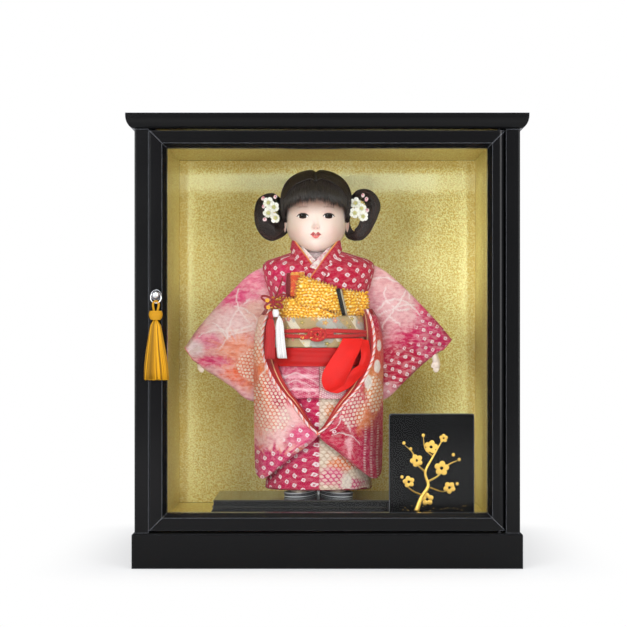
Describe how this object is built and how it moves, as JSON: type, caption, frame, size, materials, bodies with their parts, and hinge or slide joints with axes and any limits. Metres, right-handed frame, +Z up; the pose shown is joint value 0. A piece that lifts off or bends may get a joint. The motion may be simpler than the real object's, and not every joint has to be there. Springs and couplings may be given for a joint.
{
  "type": "cased kimono doll",
  "caption": "Girl doll in a long-sleeved kimono, standing on a black platform with a name plate inside a gold-lined display case with a glass door, turn catch and tassel.",
  "frame": {"origin": "on the floor under the middle of the case's overall box, knob and cornice included", "axes": "+Z up, the glass door and the doll's face look towards -Y, +X to the right seen from the front"},
  "size_m": [0.4024, 0.2946, 0.4548],
  "materials": {
    "black_lacquer": "polished black lacquer",
    "gold_paper": "crinkled gold foil paper, satin",
    "clear_glass": "clear",
    "chrome": "polished",
    "steel": "bright",
    "gold_yarn": "silky yarn",
    "shell_white": "soft satin shell-white coat",
    "body_composition": "matt wood composition",
    "black_hair": "smooth silky hair",
    "white_petal": "matt",
    "crimson_cloth": "tie-dyed crepe",
    "pink_cloth": "tie-dyed crepe",
    "coral_cloth": "tie-dyed crepe",
    "red_cloth": "braided silk",
    "scarlet_silk": "soft silk",
    "cream_cloth": "matt",
    "beige_brocade": "woven brocade",
    "yellow_shibori": "pimpled tie-dye",
    "orange_brocade": "woven brocade"
  },
  "bodies": {
    "case": {"plinth_front": "black_lacquer", "plinth_right": "black_lacquer", "plinth_left": "black_lacquer", "plinth_back": "black_lacquer", "bottom_board": "black_lacquer", "side_board_left": "black_lacquer", "side_board_right": "black_lacquer", "back_panel": "black_lacquer", "gold_lining_left": "gold_paper", "gold_lining_right": "gold_paper", "gold_lining_back": "gold_paper", "gold_lining_floor": "gold_paper", "gold_lining_ceiling": "gold_paper", "top_board": "black_lacquer", "platform": "black_lacquer", "stand_rod": "steel", "name_plate": "black_lacquer", "plate_strut": "black_lacquer", "doll_body": "body_composition", "sandal_left": "black_lacquer", "sandal_right": "black_lacquer", "arm_left": "shell_white", "arm_right": "shell_white", "kimono_bodice": "crimson_cloth", "kimono_skirt": "crimson_cloth", "sleeve_left": "pink_cloth", "sleeve_right": "pink_cloth", "sleeve_drop_left": "coral_cloth", "sleeve_drop_right": "coral_cloth", "kimono_collar": "crimson_cloth", "inner_collar": "cream_cloth", "sash": "scarlet_silk", "obijime": "red_cloth", "obiage": "yellow_shibori", "obi": "beige_brocade", "obi_bow": "beige_brocade", "brocade_pouch": "orange_brocade", "folding_fan": "black_lacquer", "pouch_tassels": "red_cloth"},
    "door": {"door_stile_left": "black_lacquer", "door_stile_right": "black_lacquer", "door_rail_top": "black_lacquer", "door_rail_bottom": "black_lacquer", "door_glass": "clear_glass", "glazing_bead": "black_lacquer", "pivot_pin_bottom": "steel", "pivot_pin_top": "steel", "catch_rosette": "chrome", "catch_nut": "steel"},
    "catch": {"turn_knob": "chrome", "catch_cam": "steel"},
    "tassel": {"catch_ring": "chrome", "tassel_cord": "gold_yarn", "tassel": "gold_yarn"},
    "head": {"head": "shell_white", "hair": "black_hair", "hair_bunch_left": "black_hair", "hair_bunch_right": "black_hair", "blossoms_left": "white_petal", "blossoms_right": "white_petal"}
  },
  "joints": [
    {"name": "door_hinge", "type": "hinge", "parent": "case", "child": "door", "pos_m": [0.1726, -0.1312, 0.238], "axis": [0, 0, 1], "range_deg": [0, 90]},
    {"name": "catch_turn", "type": "hinge", "parent": "door", "child": "catch", "pos_m": [-0.171, -0.1406, 0.2735], "axis": [0, 1, 0], "range_deg": [0, 90]},
    {"name": "tassel_swing", "type": "hinge", "parent": "door", "child": "tassel", "pos_m": [-0.171, -0.1406, 0.2735], "axis": [0, 1, 0], "range_deg": [-75, 75]},
    {"name": "head_turn", "type": "hinge", "parent": "case", "child": "head", "pos_m": [-0.0122, 0.0113, 0.325], "axis": [0, 0, 1], "range_deg": [-20, 20]}
  ]
}
